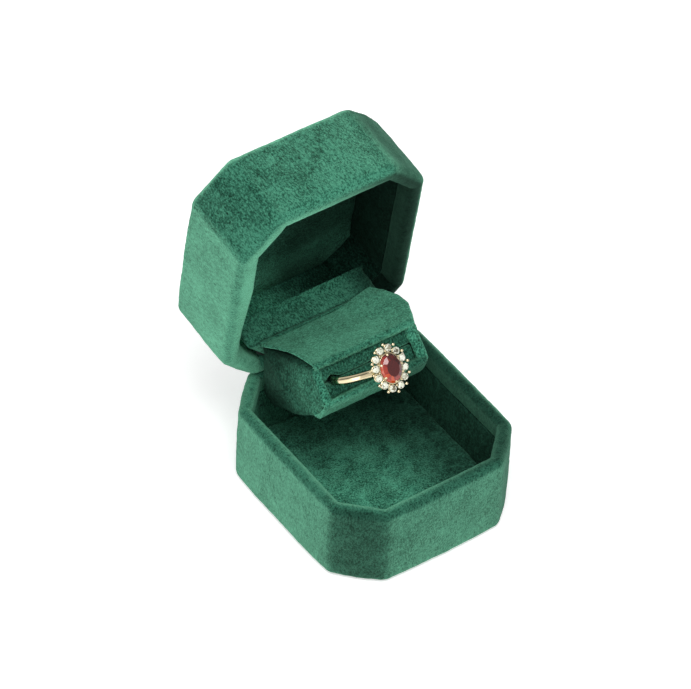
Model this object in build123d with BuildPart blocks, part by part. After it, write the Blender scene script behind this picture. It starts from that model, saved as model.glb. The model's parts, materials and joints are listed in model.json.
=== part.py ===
from build123d import *
import os
from math import cos, radians, sin, sqrt

# An eight-sided, velvet-covered ring box, standing open. The rear hinge carries the lid, a
# bar inside the lid carries the ring holder on a fabric fold, and the holder's slot grips
# a ring. X runs along the hinge, -Y is the front, +Z is up, and the origin is under the
# middle of the base. Lengths are millimetres.

os.makedirs("parts", exist_ok=True)

# ------------------------------------------------------------- driving dimensions
# box
box_width = 55.0
box_depth = 60.6
corner_cut = 10.0  # leg of each 45 degree corner
corner_round = 2.0  # softening of the eight upright edges
least_round = 0.4  # the same edges on the innermost layers
base_height = 23.5
lid_height = 23.4
parting_gap = 0.3  # between the two rims when the box is shut
open_angle = 82.0  # degrees from shut to the open stop
rim_round = 1.5
crown_round = 2.5  # round of the lid's top edge
heel_round = 1.0  # round of the base's bottom edge
trim = 1.0  # cutting shapes run this far past the piece they cut

# layers of the walls
cover_skin = 0.8  # velvet with its backing
shell_wall = 1.4
base_lining_thick = 1.2
lid_lining_thick = 2.1
turn_in = 0.6  # velvet folded over the rim and glued inside
turn_in_depth = 4.0
floor_pad_thick = 1.6
floor_pad_round = 0.5
ceiling_pad_thick = 2.0
foot_thick = 0.8
foot_proud = 0.3  # the foot panel stands this far below the velvet
foot_inset = 4.6

# hinge
hinge_drop = 1.6  # hinge line to the lid's rim and to its rear face
pin_radius = 0.6
pin_end_round = 0.15
pin_overhang = 0.3
knuckle_radius = 1.3
running_clearance = 0.05
base_knuckle = (8.1, 12.0)  # where its knuckles start and end, each side of the middle
lid_knuckle = (4.0, 7.9)
leaf_thick = 0.6
leaf_half_width = 12.0
leaf_neck = 1.9  # knuckle axis to the flat plate
leaf_reach = 12.0  # knuckle axis to the plate's far edge
window_half = 3.7  # opening in each leaf for the spring and its leg
window_margin = 1.0
notch_clearance = 0.4
rivet_radius = 0.55
rivet_spacing = 15.0
rivet_drop = 8.5  # from the hinge line
spring_wire = 0.22
spring_radius = 0.95  # to the middle of the wire
spring_turns = 9
spring_half = 3.1
spring_leg = 5.5

# ring holder, as it stands when the box is open
top_length = 22.0  # top plate, from the fold to the front edge
top_tilt = radians(21.3)  # front edge up
slot_face_length = 11.0
slot_elevation = radians(38.0)  # how far the slot looks up
lip_length = 7.2
lip_lean = radians(24.8)  # back from upright
belly_sag = 1.0
low_drop = (5.5, 18.0)  # lowest point, forward of and below the fold
heel_drop = (1.7, 16.2)  # lower rear corner, forward of and below the fold
holder_heart = (12.5, 5.0)  # a place inside the holder, forward of and below the fold
holder_skin = 0.8
core_half = 14.0
cheek_front = 15.6
cheek_rear = 17.0
slot_half = 4.4
slot_depth = 11.0
pad_recess = 1.7
pad_gap = 2.3
pad_half_length = 13.9
fold_gap = 0.2

# lift bar inside the lid, measured with the lid shut
bar_half_width = 17.0
bar_front = 18.6  # its front face, behind the middle of the box
bar_lift = 1.3  # above the lid's rim
bar_height = 7.4
bar_corner = 2.0

# ring
ring_outer = 9.8
ring_thick = 1.1
ring_width = 2.1
band_round = 0.3
ring_shift = -1.7  # along the slot
ring_rise = 1.3  # ring's middle, out of the slot face
basket_foot = (1.6, 1.9)  # half width and half length where the head meets the band
basket_head = (4.1, 5.3)
plate_thick = 0.5
halo_count = 12
halo_axes = (3.95, 5.15)  # half axes of the oval through the small stones
small_stone = 1.05
small_culet = 0.2
bead_axes = (4.8, 5.95)
bead_radius = 0.4
centre_axes = (3.0, 3.8)
centre_culet = (1.2, 1.5)
centre_table = (2.0, 2.6)
claw_count = 6
claw_radius = 0.4

# heights in the ring's head, above the top of its band
basket_level = -0.4
plate_level = 1.4
centre_culet_level = 1.6
small_culet_level = 1.7
prong_level = 1.8
girdle_level = 2.2
centre_girdle_level = 2.5
bead_top = 2.6
claw_top = 3.2
table_level = 4.0

# ------------------------------------------------------------- derived places
lining_start = cover_skin + shell_wall
base_wall = lining_start + base_lining_thick
lid_wall = lining_start + lid_lining_thick
floor_top = foot_thick + shell_wall
base_cap = base_height - rim_round  # underside of the velvet-wrapped rim
base_fold = base_cap - turn_in_depth
lid_rim = base_height + parting_gap
lid_top = lid_rim + lid_height
lid_cap = lid_rim + rim_round
lid_fold = lid_cap + turn_in_depth
lid_shell_top = lid_top - cover_skin
ceiling = lid_shell_top - shell_wall

hinge_y = box_depth / 2 - hinge_drop
hinge_z = lid_rim + hinge_drop
leaf_y = (box_depth / 2 - lining_start - leaf_thick, box_depth / 2 - lining_start)
opening = radians(open_angle)
lid_up = (0, sin(opening), cos(opening))
lid_back = (0, cos(opening), -sin(opening))


def shut_to_open(y, z):
    """Where a lid point that stands at (y, z) when shut is when the box is open."""
    dy = y - hinge_y
    dz = z - hinge_z
    open_y = hinge_y + dy * cos(opening) + dz * sin(opening)
    open_z = hinge_z - dy * sin(opening) + dz * cos(opening)
    return (open_y, open_z)


def lid_level(height):
    """Plane across the lid, named by the height it has when the lid is shut."""
    return Plane(origin=(0, *shut_to_open(0, height)), x_dir=(1, 0, 0), z_dir=lid_up)


def lid_side(x):
    """Plane along the lid, whose own coordinates are (y, z) as they are when shut."""
    return Plane(origin=(x, *shut_to_open(0, 0)), x_dir=lid_back, z_dir=(1, 0, 0))


def box_side(x):
    """Upright plane whose own coordinates are (y, z)."""
    return Plane.YZ.offset(x)


# ------------------------------------------------------------- shared shapes
def footprint(inset, mode=Mode.ADD):
    """Eight-sided outline, drawn in by inset, in the current sketch."""
    with BuildSketch(mode=Mode.PRIVATE) as outline:
        Rectangle(box_width - 2 * inset, box_depth - 2 * inset)
        chamfer(outline.vertices(), corner_cut - inset * (2 - sqrt(2)))
        fillet(outline.vertices(), max(corner_round - inset, least_round))
    add(outline.sketch, mode=mode)


def block(plane, height, inset, mode=Mode.ADD):
    """Eight-sided block standing on the plane."""
    with BuildSketch(plane) as outline:
        footprint(inset)
    extrude(to_extrude=outline.sketch, amount=height, mode=mode)


def wall(plane, height, outer, inner, mode=Mode.ADD):
    """Eight-sided tube between two insets, standing on the plane."""
    with BuildSketch(plane) as outline:
        footprint(outer)
        footprint(inner, mode=Mode.SUBTRACT)
    extrude(to_extrude=outline.sketch, amount=height, mode=mode)


def bar(side, x_range, y_range, z_range, mode=Mode.ADD):
    """Rectangular bar along x, drawn on the box's or the lid's side plane."""
    with BuildSketch(side(x_range[0])) as section:
        with Locations((sum(y_range) / 2, sum(z_range) / 2)):
            Rectangle(y_range[1] - y_range[0], z_range[1] - z_range[0])
    extrude(to_extrude=section.sketch, amount=x_range[1] - x_range[0], mode=mode)


def rod(side, x_range, radius, mode=Mode.ADD):
    """Round bar on the hinge line."""
    with BuildSketch(side(x_range[0])) as section:
        with Locations((hinge_y, hinge_z)):
            Circle(radius)
    extrude(to_extrude=section.sketch, amount=x_range[1] - x_range[0], mode=mode)


def both_ways(half):
    """The range that reaches half to each side of the middle."""
    return (-half, half)


def both_sides(reach):
    """The x range on the left and its mirror on the right."""
    return ((-reach[1], -reach[0]), reach)


# ------------------------------------------------------------- hinge
def hinge_leaf(side, way, tubes, bore):
    """Leaf that hangs down (way -1) or stands up (way 1) from its two knuckles."""
    neck = sorted((hinge_z, hinge_z + way * leaf_neck))
    plate = sorted((hinge_z + way * leaf_neck, hinge_z + way * leaf_reach))
    window = sorted((hinge_z + way * leaf_neck, hinge_z + way * (spring_leg + window_margin)))
    bar(side, both_ways(leaf_half_width), leaf_y, plate)
    bar(side, both_ways(window_half), leaf_y, window, Mode.SUBTRACT)
    for x_range in both_sides(tubes):
        bar(side, x_range, leaf_y, neck)
        rod(side, x_range, knuckle_radius)
        rod(side, x_range, bore, Mode.SUBTRACT)


def rivet_pair(plane, mode=Mode.ADD):
    """Two flush rivets through the leaf and the shell wall behind it."""
    with BuildSketch(plane) as shanks:
        with GridLocations(rivet_spacing, 1, 2, 1):
            Circle(rivet_radius)
    extrude(to_extrude=shanks.sketch, amount=leaf_thick + shell_wall, mode=mode)


def leaf_pocket(side, z_range):
    """Room for a leaf in the soft layer in front of the shell."""
    bar(side, both_ways(leaf_half_width), leaf_y, z_range, Mode.SUBTRACT)


base_rivet_plane = Plane(
    origin=(0, leaf_y[0], hinge_z - rivet_drop), x_dir=(1, 0, 0), z_dir=(0, 1, 0)
)
lid_rivet_plane = Plane(
    origin=(0, *shut_to_open(leaf_y[0], hinge_z + rivet_drop)),
    x_dir=(1, 0, 0),
    z_dir=lid_back,
)

with BuildPart() as base_hinge_leaf:
    hinge_leaf(box_side, -1, base_knuckle, pin_radius)
    rivet_pair(base_rivet_plane, Mode.SUBTRACT)

with BuildPart() as lid_hinge_leaf:
    hinge_leaf(lid_side, 1, lid_knuckle, pin_radius + running_clearance)
    rivet_pair(lid_rivet_plane, Mode.SUBTRACT)

with BuildPart() as base_rivets:
    rivet_pair(base_rivet_plane)

with BuildPart() as lid_rivets:
    rivet_pair(lid_rivet_plane)

with BuildPart() as hinge_pin:
    rod(box_side, both_ways(leaf_half_width + pin_overhang), pin_radius)
    fillet(hinge_pin.edges(), pin_end_round)

# torsion spring round the pin, one leg down the base's leaf and one up the lid's leaf
hinge_line = Axis((0, hinge_y, hinge_z), (1, 0, 0))
coil_pitch = 2 * spring_half / (spring_turns + open_angle / 360)
base_leg_top = (-spring_half, hinge_y - spring_radius, hinge_z)
lid_leg_foot = (spring_half, *shut_to_open(hinge_y - spring_radius, hinge_z))

with BuildPart() as hinge_spring:
    with BuildLine() as winding:
        Helix(
            coil_pitch,
            2 * spring_half,
            spring_radius,
            center=(-spring_half, hinge_y, hinge_z),
            direction=(1, 0, 0),
            lefthand=True,
        )
    coil = winding.line.rotate(hinge_line, 90)
    with BuildSketch(Plane(origin=coil @ 0, z_dir=coil % 0)):
        Circle(spring_wire)
    sweep(path=coil, is_frenet=True)
    with BuildSketch(Plane(origin=base_leg_top, z_dir=(0, 0, -1))):
        Circle(spring_wire)
    extrude(amount=spring_leg)
    with BuildSketch(Plane(origin=lid_leg_foot, z_dir=lid_up)):
        Circle(spring_wire)
    extrude(amount=spring_leg)

# ------------------------------------------------------------- base
with BuildPart() as base_shell:
    block(Plane.XY.offset(foot_thick), base_cap - foot_thick, cover_skin)
    block(Plane.XY.offset(floor_top), base_cap - floor_top, lining_start, Mode.SUBTRACT)
    rivet_pair(base_rivet_plane, Mode.SUBTRACT)

with BuildPart() as base_cover:
    block(Plane.XY.offset(foot_proud), base_height - foot_proud, 0)
    fillet(base_cover.edges().group_by(Axis.Z)[0], heel_round)
    block(Plane.XY.offset(foot_thick), base_height - foot_thick, base_wall, Mode.SUBTRACT)
    fillet(base_cover.edges().group_by(Axis.Z)[-1], rim_round)
    block(Plane.XY.offset(foot_proud), foot_thick - foot_proud, foot_inset, Mode.SUBTRACT)
    block(Plane.XY.offset(foot_thick), base_fold - foot_thick, cover_skin, Mode.SUBTRACT)
    wall(
        Plane.XY.offset(base_fold),
        turn_in_depth,
        cover_skin,
        base_wall - turn_in,
        Mode.SUBTRACT,
    )
    leaf_pocket(box_side, (base_cap, base_height))

with BuildPart() as base_lining:
    wall(Plane.XY.offset(floor_top), base_fold - floor_top, lining_start, base_wall)
    wall(Plane.XY.offset(base_fold), turn_in_depth, lining_start, base_wall - turn_in)
    leaf_pocket(box_side, (hinge_z - leaf_reach, base_cap))

with BuildPart() as base_floor_pad:
    block(Plane.XY.offset(floor_top), floor_pad_thick, base_wall)
    fillet(base_floor_pad.edges().group_by(Axis.Z)[-1], floor_pad_round)

with BuildPart() as base_foot_panel:
    block(Plane.XY, foot_thick, foot_inset)


# ------------------------------------------------------------- lid
def hinge_notch():
    """Room in the lid's rear rim for the knuckles and the base's leaf."""
    notch_radius = knuckle_radius + notch_clearance
    x_range = both_ways(leaf_half_width + notch_clearance)
    y_range = (hinge_y - notch_radius, hinge_y + notch_radius)
    rod(lid_side, x_range, notch_radius, Mode.SUBTRACT)
    bar(lid_side, x_range, y_range, (lid_rim - trim, hinge_z), Mode.SUBTRACT)


lid_axis = Axis(lid_level(0).origin, lid_up)

with BuildPart() as lid_shell:
    block(lid_level(lid_cap), lid_shell_top - lid_cap, cover_skin)
    fillet(lid_shell.edges().group_by(lid_axis)[-1], crown_round - cover_skin)
    block(lid_level(lid_cap), ceiling - lid_cap, lining_start, Mode.SUBTRACT)
    hinge_notch()
    rivet_pair(lid_rivet_plane, Mode.SUBTRACT)

with BuildPart() as lid_cover:
    block(lid_level(lid_rim), lid_height, 0)
    fillet(lid_cover.edges().group_by(lid_axis)[-1], crown_round)
    block(lid_level(lid_rim), ceiling - lid_rim, lid_wall, Mode.SUBTRACT)
    fillet(lid_cover.edges().group_by(lid_axis)[0], rim_round)
    wall(lid_level(lid_cap), turn_in_depth, cover_skin, lid_wall - turn_in, Mode.SUBTRACT)
    block(lid_level(lid_fold), ceiling - lid_fold, cover_skin, Mode.SUBTRACT)
    add(lid_shell.part, mode=Mode.SUBTRACT)
    hinge_notch()

with BuildPart() as lid_lining:
    wall(lid_level(lid_fold), ceiling - lid_fold, lining_start, lid_wall)
    wall(lid_level(lid_cap), turn_in_depth, lining_start, lid_wall - turn_in)
    hinge_notch()
    leaf_pocket(lid_side, (lid_cap, hinge_z + leaf_reach))

with BuildPart() as lid_ceiling_pad:
    block(lid_level(ceiling), -ceiling_pad_thick, lid_wall)

bar_back = box_depth / 2 - lid_wall
bar_bottom = lid_rim + bar_lift


def bar_block(skin, mode=Mode.ADD):
    """The lift bar's outline seen from above, less a skin everywhere but the back."""
    half = bar_half_width - skin
    front = bar_front + skin
    with BuildSketch(lid_level(bar_bottom + skin)) as plan:
        with BuildLine():
            Polyline(
                (-half, front),
                (half, front),
                (half, bar_back - bar_corner),
                (half - bar_corner, bar_back),
                (bar_corner - half, bar_back),
                (-half, bar_back - bar_corner),
                close=True,
            )
        make_face()
    extrude(to_extrude=plan.sketch, amount=bar_height - 2 * skin, mode=mode)


with BuildPart() as lift_bar:
    bar_block(holder_skin)

with BuildPart() as lift_bar_cover:
    bar_block(0)
    bar_block(holder_skin, Mode.SUBTRACT)

# ------------------------------------------------------------- ring holder
fold_point = Vector(*shut_to_open(bar_front, bar_bottom))
top_way = Vector(-cos(top_tilt), sin(top_tilt))
slot_out = Vector(-cos(slot_elevation), sin(slot_elevation))
slot_up = Vector(sin(slot_elevation), cos(slot_elevation))
lip_way = Vector(sin(lip_lean), -cos(lip_lean))

rear_top = fold_point + top_way * fold_gap
front_top = fold_point + top_way * top_length
front_mid = front_top - slot_up * slot_face_length
lip_bottom = front_mid + lip_way * lip_length
low_point = fold_point - Vector(*low_drop)
rear_heel = fold_point - Vector(*heel_drop)
slot_middle = front_top - slot_up * (slot_face_length / 2)
chord = low_point - lip_bottom
belly = lip_bottom + chord * 0.5 + Vector(chord.Y, -chord.X).normalized() * belly_sag


def holder_profile(inset, mode=Mode.ADD):
    """The holder seen from its end, drawn in by inset, in the current sketch."""
    with BuildSketch(mode=Mode.PRIVATE) as profile:
        with BuildLine():
            Polyline(rear_top, front_top, front_mid, lip_bottom)
            under = ThreePointArc(lip_bottom, belly, low_point)
            TangentArc(low_point, rear_heel, tangent=under % 1)
            Line(rear_heel, rear_top)
        make_face()
        if inset:
            offset(amount=-inset, kind=Kind.INTERSECTION, mode=Mode.REPLACE)
    add(profile.sketch, mode=mode)


slot_plane = Plane(
    origin=(0, slot_middle.X, slot_middle.Y),
    x_dir=(1, 0, 0),
    z_dir=(0, slot_out.X, slot_out.Y),
)


def slot_block(half_length, w_range, depth_range, mode=Mode.ADD):
    """Block inside the slot: along it, across it, and down from its face."""
    with BuildSketch(slot_plane.offset(-depth_range[0])) as opening_shape:
        with Locations((0, sum(w_range) / 2)):
            Rectangle(2 * half_length, w_range[1] - w_range[0])
    extrude(
        to_extrude=opening_shape.sketch,
        amount=depth_range[0] - depth_range[1],
        mode=mode,
    )


def skin(corners):
    """Velvet skin of the holder between the first and the last corner."""
    heart = fold_point - Vector(*holder_heart)
    far_corners = [corner + (corner - heart) for corner in corners]
    with BuildSketch(box_side(-core_half)) as section:
        holder_profile(0)
        holder_profile(holder_skin, Mode.SUBTRACT)
        with BuildLine():
            Polyline(heart, *far_corners, close=True)
        make_face(mode=Mode.INTERSECT)
    extrude(to_extrude=section.sketch, amount=2 * core_half)


slot_upper_edge = slot_middle + slot_up * slot_half
slot_lower_edge = slot_middle - slot_up * slot_half
slot_width = both_ways(slot_half)
slot_mouth = (-trim, slot_depth)

with BuildPart() as holder_core:
    with BuildSketch(box_side(-core_half)) as core_section:
        holder_profile(holder_skin)
    extrude(amount=2 * core_half)
    slot_block(core_half, slot_width, slot_mouth, Mode.SUBTRACT)

with BuildPart() as holder_top_cover:
    skin((rear_top, front_top, slot_upper_edge))
    slot_block(core_half, slot_width, slot_mouth, Mode.SUBTRACT)

with BuildPart() as holder_lip:
    skin((slot_lower_edge, front_mid, lip_bottom))
    slot_block(core_half, slot_width, slot_mouth, Mode.SUBTRACT)

with BuildPart() as holder_back_cover:
    skin((lip_bottom, belly, low_point, rear_heel, rear_top))


def cheek(way):
    """Padded end panel, wider towards the fold, on the left (way -1) or the right."""
    start = core_half if way > 0 else -cheek_rear
    with BuildSketch(box_side(start)) as panel:
        holder_profile(0)
    extrude(to_extrude=panel.sketch, amount=cheek_rear - core_half)
    front = front_mid.X - trim
    rear = fold_point.X + trim
    outermost = cheek_rear + trim
    with BuildSketch(Plane.XY) as outside:
        with BuildLine():
            Polyline(
                (way * cheek_front, front),
                (way * cheek_front, front_top.X),
                (way * cheek_rear, rear),
                (way * outermost, rear),
                (way * outermost, front),
                close=True,
            )
        make_face()
    extrude(to_extrude=outside.sketch, amount=lid_top, mode=Mode.SUBTRACT)


with BuildPart() as cheek_left:
    cheek(-1)

with BuildPart() as cheek_right:
    cheek(1)


def slot_pad(w_range):
    """Soft pad filling half the slot, set back from its mouth."""
    slot_block(pad_half_length, w_range, (pad_recess, slot_depth))


with BuildPart() as slot_pad_upper:
    slot_pad((pad_gap / 2, slot_half))

with BuildPart() as slot_pad_lower:
    slot_pad((-slot_half, -pad_gap / 2))

# ------------------------------------------------------------- ring
ring_plane = Plane(
    origin=slot_plane.from_local_coords((ring_shift, 0, ring_rise)),
    x_dir=(1, 0, 0),
    z_dir=slot_plane.z_dir,
)


def head_plane(level):
    """Plane across the ring's head, at a level above the top of its band."""
    return ring_plane.offset(ring_outer + level)


def around(axes, count, turn):
    """Evenly spaced places round an oval, turned on by a part of a step."""
    with BuildLine(mode=Mode.PRIVATE) as oval:
        EllipticalCenterArc((0, 0), *axes, arc_size=360)
    return [oval.line @ ((index + turn) / count) for index in range(count)]


def oval_loft(lower, lower_axes, upper, upper_axes):
    """Solid between two ovals across the head, each given by its level and half axes."""
    with BuildSketch(head_plane(lower)) as foot:
        Ellipse(*lower_axes)
    with BuildSketch(head_plane(upper)) as head:
        Ellipse(*upper_axes)
    loft(sections=(foot.sketch, head.sketch), ruled=True)


def posts(axes, count, turn, radius, top):
    """Round posts on an oval, standing in the setting's plate."""
    with BuildSketch(head_plane(prong_level)) as feet:
        with Locations(*around(axes, count, turn)):
            Circle(radius)
    extrude(to_extrude=feet.sketch, amount=top - prong_level)


with BuildPart() as ring_band:
    with BuildSketch(ring_plane):
        with Locations((ring_outer - ring_thick / 2, 0)):
            RectangleRounded(ring_thick, ring_width, band_round)
    revolve(axis=Axis(ring_plane.origin, ring_plane.y_dir))

with BuildPart() as ring_setting:
    oval_loft(basket_level, basket_foot, plate_level, basket_head)
    with BuildSketch(head_plane(plate_level)):
        Ellipse(*bead_axes)
    extrude(amount=plate_thick)

with BuildPart() as centre_stone:
    oval_loft(centre_culet_level, centre_culet, centre_girdle_level, centre_axes)
    oval_loft(centre_girdle_level, centre_axes, table_level, centre_table)

with BuildPart() as halo_stones:
    for place in around(halo_axes, halo_count, 0.5):
        with BuildSketch(head_plane(small_culet_level)) as culet:
            with Locations(place):
                Circle(small_culet)
        with BuildSketch(head_plane(girdle_level)) as widest:
            with Locations(place):
                Circle(small_stone)
        loft(sections=(culet.sketch, widest.sketch), ruled=True)

with BuildPart() as halo_beads:
    posts(bead_axes, halo_count, 0, bead_radius, bead_top)

with BuildPart() as centre_claws:
    posts(centre_axes, claw_count, 0.5, claw_radius, claw_top)

# ------------------------------------------------------------- write the pieces
pieces = {
    "base_shell": base_shell,
    "base_cover": base_cover,
    "base_lining": base_lining,
    "base_floor_pad": base_floor_pad,
    "base_foot_panel": base_foot_panel,
    "base_hinge_leaf": base_hinge_leaf,
    "base_rivets": base_rivets,
    "hinge_pin": hinge_pin,
    "hinge_spring": hinge_spring,
    "lid_shell": lid_shell,
    "lid_cover": lid_cover,
    "lid_lining": lid_lining,
    "lid_ceiling_pad": lid_ceiling_pad,
    "lid_hinge_leaf": lid_hinge_leaf,
    "lid_rivets": lid_rivets,
    "lift_bar": lift_bar,
    "lift_bar_cover": lift_bar_cover,
    "holder_core": holder_core,
    "holder_top_cover": holder_top_cover,
    "holder_lip": holder_lip,
    "holder_back_cover": holder_back_cover,
    "cheek_left": cheek_left,
    "cheek_right": cheek_right,
    "slot_pad_upper": slot_pad_upper,
    "slot_pad_lower": slot_pad_lower,
    "ring_band": ring_band,
    "ring_setting": ring_setting,
    "centre_stone": centre_stone,
    "centre_claws": centre_claws,
    "halo_stones": halo_stones,
    "halo_beads": halo_beads,
}
for name, piece in pieces.items():
    piece.part.label = name
    export_step(piece.part, "parts/" + name + ".step")
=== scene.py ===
"""Looks of a velvet ring box, standing open, with one ring in its lift-up holder."""

import json
from math import acos, ceil, cos, pi, radians, sin, sqrt, tan

import bmesh
import bpy
import numpy as np
from mathutils import Matrix, Vector, noise


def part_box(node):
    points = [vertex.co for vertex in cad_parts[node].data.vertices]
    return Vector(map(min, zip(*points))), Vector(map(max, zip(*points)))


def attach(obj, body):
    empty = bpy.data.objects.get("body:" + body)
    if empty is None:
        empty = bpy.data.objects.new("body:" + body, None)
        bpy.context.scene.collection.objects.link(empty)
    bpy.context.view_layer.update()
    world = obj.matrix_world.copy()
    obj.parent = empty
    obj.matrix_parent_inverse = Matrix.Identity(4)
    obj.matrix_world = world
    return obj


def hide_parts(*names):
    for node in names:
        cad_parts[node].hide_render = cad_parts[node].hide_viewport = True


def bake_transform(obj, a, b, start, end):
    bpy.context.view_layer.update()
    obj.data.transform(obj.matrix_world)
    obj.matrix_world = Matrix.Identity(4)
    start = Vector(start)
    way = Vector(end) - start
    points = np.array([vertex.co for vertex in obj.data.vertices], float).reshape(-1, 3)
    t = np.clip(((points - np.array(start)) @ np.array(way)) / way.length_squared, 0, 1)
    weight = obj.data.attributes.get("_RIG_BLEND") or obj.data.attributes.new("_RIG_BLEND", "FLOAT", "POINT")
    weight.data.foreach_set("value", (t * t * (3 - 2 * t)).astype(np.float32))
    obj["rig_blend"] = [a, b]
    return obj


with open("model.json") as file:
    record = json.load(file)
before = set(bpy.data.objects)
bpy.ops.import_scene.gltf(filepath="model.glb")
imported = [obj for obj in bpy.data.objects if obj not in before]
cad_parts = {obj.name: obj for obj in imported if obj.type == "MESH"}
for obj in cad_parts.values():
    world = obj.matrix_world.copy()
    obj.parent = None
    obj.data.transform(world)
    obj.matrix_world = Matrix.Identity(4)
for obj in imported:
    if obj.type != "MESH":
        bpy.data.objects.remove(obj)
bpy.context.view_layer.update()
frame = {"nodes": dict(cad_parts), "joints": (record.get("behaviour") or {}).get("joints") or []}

# ------------------------------------------------------------- places taken from the frame
# Lengths in this script are millimetres; meshes are written in metres.
MM = 0.001
joints = {joint["name"]: joint for joint in frame["joints"]}
hinge_y, hinge_z = (value / MM for value in joints["lid_hinge"]["pos_m"][1:])
fold_y, fold_z = (value / MM for value in joints["holder_fold"]["pos_m"][1:])
opening = radians(joints["lid_hinge"]["range_deg"][1])
slot_out = np.array(joints["ring_lift"]["axis"])
along_x = np.array((1.0, 0.0, 0.0))
slot_up = np.cross(slot_out, along_x)
slot_ways = np.array((along_x, slot_up, slot_out))


def read_vectors(items, key):
    """The (x, y, z) values of a mesh's items, one row each."""
    values = np.empty(len(items) * 3, np.float32)
    items.foreach_get(key, values)
    return values.reshape(-1, 3)


def node_points(name):
    """Corners of a CAD node's mesh, in the row frame."""
    return read_vectors(frame["nodes"][name].data.vertices, "co").astype(float) / MM


def turned(points, angle):
    """Points turned about the lid's hinge line; a positive angle opens the lid."""
    points = np.asarray(points, float)
    dy = points[..., 1] - hinge_y
    dz = points[..., 2] - hinge_z
    y = hinge_y + dy * cos(angle) + dz * sin(angle)
    z = hinge_z - dy * sin(angle) + dz * cos(angle)
    return np.stack((points[..., 0], y, z), -1)


def opened(points):
    """Where lid points measured with the box shut stand when it is open."""
    return turned(points, opening)


def shut(points):
    """Where lid points of the open box stand when it is shut."""
    return turned(points, -opening)


def as_built(points):
    """Leaves points where they are."""
    return np.asarray(points, float)


band_low, band_high = (np.array(corner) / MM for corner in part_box("ring_band"))
ring_middle = (band_low + band_high) / 2
ring_outer = (band_high[0] - band_low[0]) / 2
ring_thick = 1.1
ring_width = 2.1

base_points = node_points("base_cover")
half_width, half_depth, base_top = base_points.max(0)
base_bottom = base_points[:, 2].min()
lid_points = shut(node_points("lid_cover"))
lid_rim = lid_points[:, 2].min()
lid_top = lid_points[:, 2].max()

# layers of the box, from the outside in
corner_cut = 10.0
corner_round = 3.0
inner_round = 0.7
cover_skin = 0.8
lining_start = 2.2
base_wall = 3.4
lid_wall = 4.3
turn_in = 0.6
turn_in_depth = 4.0
rim_round = 1.5
foot_top = 0.8
foot_inset = 4.6
floor_level = 2.2
floor_pad_thick = 1.6
ceiling = lid_top - 2.2
ceiling_pad_thick = 2.0

# ------------------------------------------------------------- outlines
FINE = 0.6  # mesh spacing on velvet that shows


def unit(vector):
    """The vector's direction, one long."""
    return vector / np.linalg.norm(vector)


def soft_step(value):
    """Rises smoothly from 0 to 1 as the value goes from 0 to 1."""
    value = np.clip(value, 0, 1)
    return value * value * (3 - 2 * value)


def face_depths(x, y):
    """Depth of a place behind the left, right, front and rear faces, then behind the
    front left, front right, rear right and rear left corner faces."""
    corner = half_width + half_depth - corner_cut
    return np.stack(
        (
            half_width + x,
            half_width - x,
            half_depth + y,
            half_depth - y,
            (corner + x + y) / sqrt(2),
            (corner - x + y) / sqrt(2),
            (corner - x - y) / sqrt(2),
            (corner + x - y) / sqrt(2),
        )
    )


def face_mix(x, y, values, flat=1.0, blend=0.8, flat_depth=5.5):
    """Blends one value per face of the box; far behind them all it is flat."""
    depths = face_depths(x, y)
    depths = np.concatenate((depths, np.full((1, *x.shape), flat_depth)))
    shares = np.exp(-depths / blend)
    return np.tensordot((*values, flat), shares, 1) / shares.sum(0)


def corner_arc(before, here, after, radius, steps):
    """Points round one corner of an outline."""
    back = unit(before - here)
    ahead = unit(after - here)
    half = acos(max(-1.0, min(1.0, float(back @ ahead)))) / 2
    middle = here + unit(back + ahead) * radius / sin(half)
    start = here + back * radius / tan(half) - middle
    finish = here + ahead * radius / tan(half) - middle
    turn = pi - 2 * half
    count = steps or max(2, ceil(radius * turn / FINE) + 1)
    shares = np.linspace(0, 1, count + 1)[:, None]
    return middle + (start * np.sin(turn * (1 - shares)) + finish * np.sin(turn * shares)) / sin(turn)


def rounded(corners, step=FINE, counts=None, arc_steps=None, closed=True):
    """Points along an outline whose corners are (across, up, radius)."""
    places = [np.array(corner[:2], float) for corner in corners]
    total = len(corners)
    arcs = []
    for index, corner in enumerate(corners):
        at_end = not closed and index in (0, total - 1)
        if at_end:
            arcs.append(places[index][None, :])
            continue
        after = places[(index + 1) % total]
        arcs.append(corner_arc(places[index - 1], places[index], after, corner[2], arc_steps))
    points = []
    for index in range(total):
        points.extend(arcs[index])
        if not closed and index == total - 1:
            break
        start = arcs[index][-1]
        finish = arcs[(index + 1) % total][0]
        count = counts[index] if counts else max(1, round(np.linalg.norm(finish - start) / step))
        points.extend(start + (finish - start) * share / count for share in range(1, count))
    return np.array(points)


long_side = round((2 * half_depth - 2 * corner_cut) / FINE)
short_side = round((2 * half_width - 2 * corner_cut) / FINE)
cut_side = round(corner_cut * sqrt(2) / FINE)


def octagon(inset):
    """The box's eight-sided outline, drawn in by inset."""
    x = half_width - inset
    y = half_depth - inset
    cut = corner_cut - inset * (2 - sqrt(2))
    radius = max(corner_round - inset, inner_round)
    corners = (
        (x, -y + cut, radius),
        (x, y - cut, radius),
        (x - cut, y, radius),
        (-x + cut, y, radius),
        (-x, y - cut, radius),
        (-x, -y + cut, radius),
        (-x + cut, -y, radius),
        (x - cut, -y, radius),
    )
    counts = (long_side, cut_side, short_side, cut_side) * 2
    return rounded(corners, counts=counts, arc_steps=6)


def at_height(outline, height):
    """A flat outline as a ring at one height."""
    return np.column_stack((outline, np.full(len(outline), height)))


def level_ring(inset, height):
    """The box's outline as a ring at one height."""
    return at_height(octagon(inset), height)


def shrunk_rings(ring, scales, crown):
    """Copies of a level ring drawn towards its middle, rising by crown."""
    middle = ring.mean(0)
    rings = []
    for scale in scales:
        copy = middle + (ring - middle) * scale
        copy[:, 2] += crown * (1 - scale**2.4)
        rings.append(copy)
    return rings


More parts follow.
